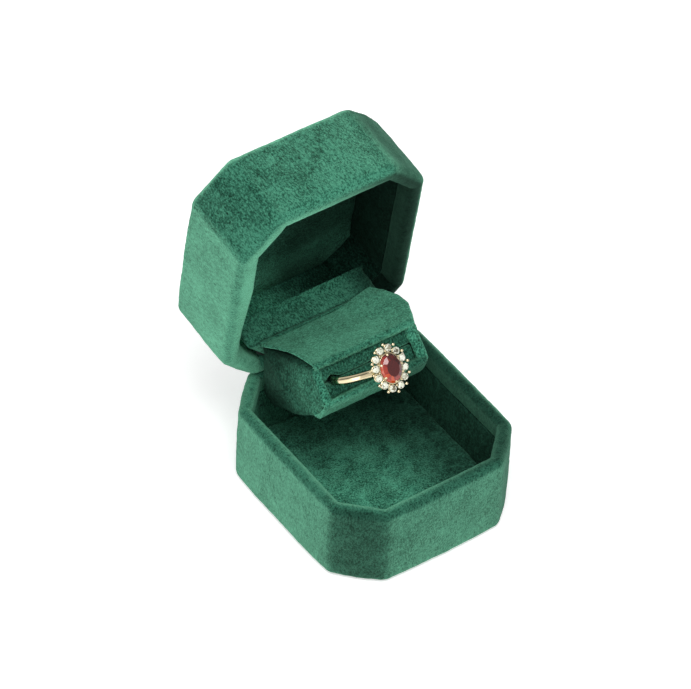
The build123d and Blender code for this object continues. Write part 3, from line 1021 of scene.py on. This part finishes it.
def holder_core():
    """Foam block with the slot cut across it."""
    to_side = up_way * (slot_half + 1.0)
    slot_roof = slot_middle + to_side
    slot_floor = slot_middle - to_side
    mouth = out_way * 1.2
    deep = out_way * slot_depth
    inset = 1.3
    middle = (front_top + rear_heel) / 2

    def inside(point):
        """A corner moved in under the velvet."""
        return point + unit(middle - point) * inset

    corners = [
        (*inside(rear_top), 0.5),
        (*inside(front_top), 0.3),
        (*(slot_roof - mouth), 0.2),
        (*(slot_roof - deep), 0.5),
        (*(slot_floor - deep), 0.5),
        (*(slot_floor - mouth), 0.2),
        (*inside(front_mid), 0.2),
        (*inside(lip_bottom), 0.5),
        (*inside(low_point), 2.0),
        (*inside(rear_heel), 1.0),
    ]
    outline = rounded(corners, step=1.5)
    stations = np.linspace(-pad_half, pad_half, 15)
    rings = [np.column_stack((np.full(len(outline), x), outline)) for x in stations]
    points, faces = loft(rings)
    piece = new_piece("holder_core_foam", points, faces, "holder", "holder_foam")
    dress(piece, "holder_core", ((2.0, 0.1),))


def cheek(name, way, node, front_half, rule):
    """Padded end panel, crowned and tucked under the top plate."""
    tuck = 0.5
    side_gap = 0.35
    crown_height = 1.1
    outline = drawn_in(holder_outline(1.7), 0.15)
    outline[:, 1] -= tuck * np.clip((outline[:, 1] - (fold[1] - 2.0)) / 6.0, 0, 1)
    middle = outline.mean(0)
    rings = []

    def ring(scale, x_share, crown):
        """The outline shrunk by scale, a share of the way out from the core."""
        shape = middle + (outline - middle) * scale
        outer = np.interp(outline[:, 0], (front_top[0], fold[0]), (front_half, cheek_rear)) - side_gap
        x = pad_half + (outer - pad_half) * x_share + crown
        return np.column_stack((way * x, shape))

    for scale in (0.02, 0.5, 0.9):
        rings.append(ring(scale, 0.0, 0.05))
    for bend in np.linspace(0, pi / 2, 4):
        rings.append(ring(0.94 + 0.06 * sin(bend), 0.25 * (1 - cos(bend)), 0.0))
    for bend in np.linspace(0, pi / 2, 6):
        rings.append(ring(1 - 0.08 * (1 - cos(bend)), 0.4 + 0.6 * sin(bend), 0.0))
    for scale in (1 - (np.arange(1, 22) / 22) ** 0.9) * 0.92:
        rings.append(ring(scale, 1.0, crown_height * (1 - (scale / 0.92) ** 2.2)))
    points, faces = loft(np.array(rings))
    piece = new_piece(name, points, faces, "holder", "velvet_cheek")
    dress(piece, node, ((6.0, 0.45), (2.5, 0.2), (1.2, 0.06)), rule)


def left_cheek_shade(x, y, z):
    """Painted shade: darker towards the fold and in the hollows under the plate and behind the front edge,
    with a painted highlight along the front edge.
    """
    across = np.column_stack((y, z))
    below_plate = (across - front_top) @ np.array((-top_way[1], top_way[0]))
    behind_face = -(across - front_top) @ out_way
    shade = 0.3 + 1.05 * soft_step((20 - y) / 18)
    shade = shade * (1 - 0.6 * np.exp(-((below_plate / 1.6) ** 2)))
    shade = shade * (1 - 0.35 * np.exp(-(((behind_face - 2.4) / 1.0) ** 2)))
    return shade + 0.45 * np.exp(-((behind_face / 1.0) ** 2))


def right_cheek_shade(x, y, z):
    """Painted light, even over the panel."""
    return np.full_like(x, 1.9)


def cheeks():
    """The two end panels; the right one is fuller in front."""
    cheek("cheek_left_velvet", -1, "cheek_left", cheek_front, left_cheek_shade)
    cheek("cheek_right_velvet", 1, "cheek_right", cheek_front + 1.2, right_cheek_shade)


def along_slot(points, middle):
    """(x, up, out) from a middle in the slot's own directions, as row-frame points."""
    return middle + np.asarray(points, float) @ slot_ways


def gripped(points):
    """A pad's places in the slot's own directions, pressed back where the band passes."""
    points = np.array(points, float)
    along, up, out = np.moveaxis(points, -1, 0)
    from_middle = np.hypot(along - ring_in_slot[0], out - ring_in_slot[1])
    pressed = np.exp(-(((from_middle - ring_outer + ring_thick / 2) / press_width) ** 2))
    near = (slot_half - np.abs(up)) / (slot_half - pad_pinch)
    points[..., 1] += np.sign(up) * pressed * near * (ring_width / 2 + press_gap - pad_pinch)
    return along_slot(points, np.array((0.0, *slot_middle)))


def slot_pads():
    """Two soft pads that pinch the ring's band between them."""
    for name, node, way in (
        ("slot_pad_upper_velvet", "slot_pad_upper", 1),
        ("slot_pad_lower_velvet", "slot_pad_lower", -1),
    ):
        section = rounded([
            (way * pad_pinch, -slot_depth + 0.2, 0.3),
            (way * slot_half, -slot_depth + 0.2, 0.3),
            (way * slot_half, -pad_recess, 0.9),
            (way * pad_pinch, -pad_recess, 0.7),
        ])
        piece = bolster(name, section, lambda y: pad_half + 0.4, "holder", "slot_pad", 0.2, gripped)
        dress(piece, node, ((5.0, 0.12), (2.0, 0.08), (1.2, 0.05)))


def fold_strip():
    """Velvet that runs down the lift bar's face and across the fold to the top plate."""
    bar_foot = opened((0, bar_low[1], bar_low[2]))[1:]
    bar_head = opened((0, bar_low[1], bar_high[2]))[1:]
    bar_way = unit(bar_head - bar_foot)
    bar_face = np.array((bar_way[1], -bar_way[0]))
    plate_face = np.array((top_way[1], -top_way[0]))
    path = rounded([
        (*(bar_head - bar_face * 1.6 - bar_way * 0.1), 0),
        (*(bar_head + bar_face * 0.1), 1.6),
        (*(fold + bar_way * 0.25 + bar_face * 0.1), 0.3),
        (*(fold + top_way * 1.0 + plate_face * 0.15), 0),
    ], step=0.4, closed=False)

    at_plate = 16.9
    at_bar = bar_half - 0.5

    def half_length(y):
        """The strip is as wide as the plate below and as the bar above."""
        return at_plate + (at_bar - at_plate) * soft_step((y - fold_y) / 3)

    grid = across_grid(path, half_length)
    piece = sheet("fold_velvet", grid, 0.6, None, "velvet_holder", nap=shut)
    ruffle(piece, ((6.0, 0.12), (2.2, 0.08), (1.2, 0.05)))
    paint_shade(piece, bar_shade)
    start = (0, *((fold + bar_way * 0.5) * MM))
    end = (0, *((fold + top_way * 0.5) * MM))
    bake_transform(piece, "lid", "holder", start=start, end=end)


# ------------------------------------------------------------- hinge spring
def tube(path, radius, sides=10):
    """Rings of a round wire along a path."""
    path = np.asarray(path, float)
    ways = np.gradient(path, axis=0)
    ways /= np.linalg.norm(ways, axis=1, keepdims=True)
    side = np.cross(ways[0], (0.3, 0.5, 0.8))
    rings = []
    for place, way in zip(path, ways):
        side = unit(side - way * (side @ way))
        other = np.cross(way, side)
        turns = np.linspace(0, 2 * pi, sides, endpoint=False)
        rings.append(place + radius * (np.cos(turns)[:, None] * side + np.sin(turns)[:, None] * other))
    return rings


def hinge_spring():
    """Torsion spring that winds up as the lid shuts, one leg on each leaf."""
    wire_radius = 0.22
    coil_radius = 0.95
    turns = 9
    half = 3.1
    leg = 5.5
    sweep = 2 * pi * turns + opening
    shares = np.linspace(0, 1, 24 * turns + 6)
    angles = pi - sweep * shares
    coil = np.column_stack(
        (
            -half + 2 * half * shares,
            hinge_y + coil_radius * np.cos(angles),
            hinge_z + coil_radius * np.sin(angles),
        )
    )
    drops = np.linspace(leg, 0.15, 12)
    base_leg = coil[0] + np.outer(drops, (0, 0, -1.0))
    lid_up = np.array((0, sin(opening), cos(opening)))
    lid_leg = coil[-1] + np.outer(drops[::-1], lid_up)
    points, faces = loft(tube(np.concatenate((base_leg, coil, lid_leg)), wire_radius))
    piece = new_piece("hinge_spring_wire", points, faces, None, "spring_steel")
    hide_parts("hinge_spring")
    margin = wire_radius + 0.02
    start = np.array((-half + margin, hinge_y, hinge_z)) * MM
    end = np.array((half - margin, hinge_y, hinge_z)) * MM
    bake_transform(piece, "base", "lid", start=start, end=end)


# ------------------------------------------------------------- ring
gallery = ring_outer + 1.4
girdle = ring_outer + 2.2
halo_axes = np.array((3.95, 5.15))
bead_axes = np.array((4.95, 6.1))
centre_axes = np.array((3.0, 3.8))
halo_count = 12
claw_count = 6


def ring_place(points):
    """(x, across, height) in the ring's own directions, as row-frame points."""
    return along_slot(points, ring_middle)


def even_oval(axes, count, turn=0.0):
    """Evenly spaced places round an oval, with the outward direction at each."""
    fine = np.linspace(0, 2 * pi, 2001)
    oval = np.column_stack((axes[0] * np.cos(fine), axes[1] * np.sin(fine)))
    run = np.concatenate(((0,), np.linalg.norm(np.diff(oval, axis=0), axis=1).cumsum()))
    wanted = (np.arange(count) + turn) / count * run[-1]
    angles = np.interp(wanted, run, fine)
    places = np.column_stack((axes[0] * np.cos(angles), axes[1] * np.sin(angles)))
    ways = np.column_stack((axes[1] * np.cos(angles), axes[0] * np.sin(angles)))
    return places, ways / np.linalg.norm(ways, axis=1, keepdims=True)


def ring_band():
    """Domed band, a little slimmer at the shoulders, with a painted dark reflection along its upper edge."""
    dome = 0.34
    edge = 0.16
    line_place = 0.5
    line_width = 0.2
    rings = []
    for angle in np.linspace(0, 2 * pi, 180, endpoint=False):
        near_head = max(0.0, cos(angle)) ** 3
        width = ring_width * (1 - 0.16 * near_head)
        outline = rounded([
            (-width / 2, ring_outer - ring_thick, edge),
            (width / 2, ring_outer - ring_thick, edge),
            (width / 2, ring_outer - dome, edge),
            (width / 4.4, ring_outer - 0.02, 0.5),
            (-width / 4.4, ring_outer - 0.02, 0.5),
            (-width / 2, ring_outer - dome, edge),
        ], counts=(4, 2, 2, 3, 2, 2), arc_steps=4)
        across = outline[:, 0]
        radius = outline[:, 1]
        rings.append(np.column_stack((radius * sin(angle), across, radius * cos(angle))))
    points, faces = loft(ring_place(np.array(rings)), looped=True)
    piece = new_piece("ring_band_gold", points, faces, "ring", "gold")
    across = (pile_places(piece) - ring_middle) @ slot_up
    # painted reflection: a dark line along the band's upper edge
    store(piece, "painted_dark_reflection", 0.95 * np.exp(-(((across - line_place) / line_width) ** 2)))
    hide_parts("ring_band")


def circle(sides, turn=0.0):
    """Points round a circle of radius 1, turned by a share of one step."""
    angles = (np.arange(sides) + turn) * 2 * pi / sides
    return np.column_stack((np.cos(angles), np.sin(angles)))


def lathe(profile, sides=16):
    """Rings of a turned shape; profile is (radius, height)."""
    return np.array([at_height(radius * circle(sides), height) for radius, height in profile])


def joined(parts):
    """Several closed skins as one set of points and faces."""
    points = []
    faces = []
    for part_points, part_faces in parts:
        faces += [[index + len(points) for index in face] for face in part_faces]
        points += list(part_points)
    return np.array(points), faces


def gold_piece(node, parts):
    """One gold piece of the ring, made of several closed skins."""
    points, faces = joined(parts)
    piece = new_piece(f"{node}_gold", ring_place(points), faces, "ring", "gold")
    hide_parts(node)


def scalloped_plate(places):
    """Plate under the small stones, with a lobe round each."""
    lobe = 0.95
    least_reach = 3.0
    rim = []
    for way in circle(144):
        best = least_reach
        for place in places:
            ahead = place @ way
            off = place @ place - ahead**2
            if off < lobe**2:
                best = max(best, ahead + sqrt(lobe**2 - off))
        rim.append(way * best)
    levels = (
        (0.30, gallery - 0.5),
        (0.62, gallery - 0.5),
        (0.93, gallery - 0.42),
        (0.985, gallery - 0.3),
        (1.0, gallery - 0.1),
        (0.985, gallery + 0.1),
        (0.93, gallery + 0.16),
        (0.30, gallery + 0.16),
    )
    return loft([at_height(np.array(rim) * scale, height) for scale, height in levels])


def basket():
    """Tapered foot that carries the plate on the band."""
    levels = (
        (1.2, 1.0, ring_outer - 0.5),
        (1.9, 1.2, ring_outer + 0.1),
        (2.4, 2.2, ring_outer + 0.6),
        (2.9, 3.4, ring_outer + 1.1),
    )
    return loft([at_height(circle(144) * (half_x, half_y), height) for half_x, half_y, height in levels])


def small_cup(place):
    """Cup that holds one small stone."""
    cup = lathe([
        (0.35, gallery - 0.1),
        (0.6, gallery - 0.1),
        (0.92, girdle - 0.34),
        (0.97, girdle - 0.2),
        (0.93, girdle - 0.14),
        (0.84, girdle - 0.2),
        (0.45, gallery + 0.2),
    ])
    cup[..., :2] += place
    return loft(cup, looped=True)


def centre_cup():
    """Oval cup that holds the centre stone."""
    levels = (
        (0.55, gallery),
        (0.75, gallery),
        (1.06, girdle + 0.18),
        (1.04, girdle + 0.28),
        (0.97, girdle + 0.2),
        (0.6, gallery + 0.3),
    )
    rings = [at_height(circle(144) * centre_axes * scale, height) for scale, height in levels]
    return loft(rings, looped=True)


def ring_setting():
    """Scalloped plate with a cup for each stone, carried by a tapered basket."""
    places, _ = even_oval(halo_axes, halo_count, 0.5)
    cups = [small_cup(place) for place in places]
    gold_piece("ring_setting", [scalloped_plate(places), basket(), *cups, centre_cup()])


def prong(foot, tip_lean, radius, bottom, top):
    """A claw: a round stem that leans in and ends in a rounded tip."""
    rings = []
    tip = radius * 0.8
    shoulder = top - tip
    profile = [(radius * 0.6, bottom), (radius * 0.65, (bottom + top) / 2), (radius, shoulder)]
    for bend in np.linspace(0.35, 1.45, 5):
        profile.append((radius * cos(bend), shoulder + tip * sin(bend)))
    for width, height in profile:
        share = (height - bottom) / (top - bottom)
        ring = lathe(((width, height),), 12)[0]
        ring[:, :2] += foot + tip_lean * share**1.6
        rings.append(ring)
    return loft(rings)


def halo_beads():
    """A bead outside and a smaller one inside each gap between the small stones."""
    lean = 0.1
    parts = []
    for axes, radius, top in (
        (bead_axes, 0.40, girdle + 0.38),
        (halo_axes - 0.72, 0.27, girdle + 0.34),
    ):
        for place, way in zip(*even_oval(axes, halo_count)):
            parts.append(prong(place, way * lean, radius, gallery, top))
    gold_piece("halo_beads", parts)


def centre_claws():
    """Claws that lean in over the centre stone."""
    parts = []
    for place, way in zip(*even_oval(centre_axes, claw_count, 0.5)):
        parts.append(prong(place + way * 0.12, -way * 0.5, 0.34, gallery, girdle + 0.95))
    gold_piece("centre_claws", parts)


def cut_stone(axes, levels, sides):
    """Faceted stone; levels are (scale, height, half-step turn), facets are triangles."""
    rings = [at_height(axes * scale * circle(sides, turn), height) for scale, height, turn in levels]
    points = np.concatenate(rings)
    faces = [list(range(sides)), list(range((len(levels) - 1) * sides, len(levels) * sides))]
    for row in range(len(levels) - 1):
        lower = row * sides
        upper = lower + sides
        half_step = levels[row + 1][2] - levels[row][2]
        for index in range(sides):
            after = (index + 1) % sides
            if half_step == 0:
                faces.append([lower + index, lower + after, upper + after, upper + index])
            elif half_step > 0:
                faces.append([lower + index, lower + after, upper + index])
                faces.append([lower + after, upper + after, upper + index])
            else:
                faces.append([lower + index, lower + after, upper + after])
                faces.append([lower + index, upper + after, upper + index])
    return points, faces


def paint_facet_light(piece, seed, rule=None):
    """Gives each facet its own tone between 0 and 1, painted light that stands in for its
    reflections; rule sets the tone it varies about from the facet's place in the ring's own directions."""
    polygons = piece.data.polygons
    tones = np.random.default_rng(seed).random(len(polygons))
    if rule:
        centres = read_vectors(polygons, "center").astype(float) / MM - ring_middle
        about = np.array([rule(centre @ along_x, centre @ slot_up) for centre in centres])
        tones = about + 0.5 * (tones - 0.5)
    tones = np.clip(tones, 0, 1).astype(np.float32)
    kept = piece.data.attributes.new("painted_facet_light", "FLOAT", "FACE")
    kept.data.foreach_set("value", tones)


def garnet_painted_light(across, up):
    """Painted reflections: bright at the left, deep at the top and right, dark in the middle."""
    middle_tone = 0.16
    from_middle = np.hypot(across / centre_axes[0], up / centre_axes[1])
    crown = 0.50 - 0.17 * across - 0.05 * up
    return middle_tone + (crown - middle_tone) * soft_step((from_middle - 0.2) / 0.4)


def centre_stone():
    """Oval centre stone with a flat table."""
    levels = (
        (0.12, gallery + 0.25, 0.0),
        (0.55, gallery + 0.6, 0.5),
        (0.97, girdle + 0.2, 0.0),
        (1.0, girdle + 0.34, 0.0),
        (0.86, girdle + 0.95, 0.5),
        (0.56, girdle + 1.45, 0.0),
    )
    points, faces = cut_stone(centre_axes, levels, 16)
    piece = new_piece("centre_stone_garnet", ring_place(points), faces, "ring", "garnet", smooth=False)
    paint_facet_light(piece, 11, garnet_painted_light)
    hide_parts("centre_stone")


def halo_stones():
    """Small clear stones in an oval round the centre stone."""
    levels = (
        (0.15, gallery + 0.32, 0.0),
        (0.95, girdle - 0.05, 0.5),
        (1.0, girdle + 0.02, 0.5),
        (0.80, girdle + 0.28, 0.0),
        (0.50, girdle + 0.44, 0.5),
    )
    parts = []
    for place in even_oval(halo_axes, halo_count, 0.5)[0]:
        points, faces = cut_stone(np.ones(2), levels, 8)
        points[:, :2] += place
        parts.append((points, faces))
    points, faces = joined(parts)
    piece = new_piece("halo_stones_clear", ring_place(points), faces, "ring", "clear_stone", smooth=False)
    paint_facet_light(piece, 12)
    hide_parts("halo_stones")


# ------------------------------------------------------------- hard parts
hard_finishes = {
    "base_shell": "shell_plastic",
    "lid_shell": "shell_plastic",
    "lift_bar": "shell_plastic",
    "base_foot_panel": "foot_panel",
    "base_hinge_leaf": "hinge_steel",
    "lid_hinge_leaf": "hinge_steel",
    "base_rivets": "hinge_rivet",
    "lid_rivets": "hinge_rivet",
    "hinge_pin": "hinge_pin_steel",
}


def hard_parts():
    """Gives the plain moulded and metal nodes their materials."""
    for node, finish in hard_finishes.items():
        mesh = frame["nodes"][node].data
        mesh.materials.clear()
        mesh.materials.append(materials[finish])


# ------------------------------------------------------------- floor, light and camera
def floor():
    """Wide pale floor under the box."""
    mesh = bpy.data.meshes.new("floor")
    half = 3.0
    corners = [(-half, -half, 0), (half, -half, 0), (half, half, 0), (-half, half, 0)]
    mesh.from_pydata(corners, [], [(0, 1, 2, 3)])
    tree, shader = new_material("floor")
    grain = noise_node(tree, own_place(tree), 400.0, 3.0)
    tint = mix_colours(tree, grain, (0.88, 0.88, 0.88, 1.0), (0.92, 0.92, 0.92, 1.0))
    wire(tree, shader, Base_Color=tint, Roughness=0.8, Specular_IOR_Level=0.1)
    wire(tree, shader, Emission_Color=tint, Emission_Strength=0.5)
    mesh.materials.append(materials["floor"])
    piece = bpy.data.objects.new("floor", mesh)
    bpy.context.scene.collection.objects.link(piece)


def sky():
    """Even white surroundings, brighter on the left."""
    world = bpy.data.worlds.new("studio")
    world.use_nodes = True
    bpy.context.scene.world = world
    tree = world.node_tree
    background = tree.nodes["Background"]
    way = add_node(tree, "ShaderNodeTexCoord").outputs["Generated"]
    lean = add_node(tree, "ShaderNodeVectorMath", {0: way, 1: (-0.85, -0.35, 0.15)}, operation="DOT_PRODUCT")
    level = map_range(tree, lean.outputs["Value"], -1.0, 1.0, 0.25, 0.85, "LINEAR")
    wire(tree, background, Color=(1.0, 1.0, 1.0, 1.0), Strength=level)


def softbox(name, place, aim, size, power):
    """Square soft light that faces a point."""
    light = bpy.data.lights.new(name, "AREA")
    light.size = size
    light.energy = power
    lamp = bpy.data.objects.new(name, light)
    lamp.location = place
    lamp.rotation_mode = "QUATERNION"
    lamp.rotation_quaternion = (Vector(aim) - Vector(place)).to_track_quat("-Z", "Y")
    bpy.context.scene.collection.objects.link(lamp)


def camera():
    """Long lens from above the front left."""
    azimuth = radians(-37.04)
    elevation = radians(44.46)
    roll = radians(2.90)
    target = Vector((5.32, 21.32, 27.51)) * MM
    distance = 1206.9 * MM
    back = Vector((sin(azimuth) * cos(elevation), -cos(azimuth) * cos(elevation), sin(elevation)))
    right = Vector((0, 0, 1)).cross(back).normalized()
    up = back.cross(right)
    rolled_right = right * cos(roll) + up * sin(roll)
    rolled_up = up * cos(roll) - right * sin(roll)
    lens = bpy.data.cameras.new("camera")
    lens.sensor_width = 36.0
    lens.lens = 249.9
    lens.shift_x = 0.0022
    lens.shift_y = 0.0015
    lens.clip_start = 0.05
    lens.clip_end = 20.0
    made = bpy.data.objects.new("camera", lens)
    made.location = target + back * distance
    made.rotation_mode = "QUATERNION"
    made.rotation_quaternion = Matrix((rolled_right, rolled_up, back)).transposed().to_quaternion()
    bpy.context.scene.collection.objects.link(made)
    bpy.context.scene.camera = made


# ------------------------------------------------------------- build everything
base_cover()
base_lining()
padded_octagon(
    "base_floor_velvet",
    "base_floor_pad",
    "base",
    "velvet_pad",
    base_wall,
    floor_level,
    floor_pad_thick,
    0.35,
    floor_shade,
)
lid_cover()
lid_lining()
padded_octagon(
    "lid_ceiling_velvet",
    "lid_ceiling_pad",
    "lid",
    "velvet_lining",
    lid_wall,
    ceiling,
    -ceiling_pad_thick,
    0.5,
    ceiling_shade,
)
lift_bar_cover()
holder_top()
holder_lip()
holder_back()
holder_core()
cheeks()
slot_pads()
fold_strip()
hinge_spring()
ring_band()
ring_setting()
halo_beads()
centre_claws()
centre_stone()
halo_stones()
hard_parts()

floor()
sky()
softbox("side_light", (-0.66, -0.20, 0.14), (0, 0, 0.04), 0.4, 0.8)
softbox("top_light", (-0.12, -0.22, 0.70), (0, 0, 0.03), 0.35, 2.3)
camera()
bpy.context.scene.view_settings.view_transform = "Standard"
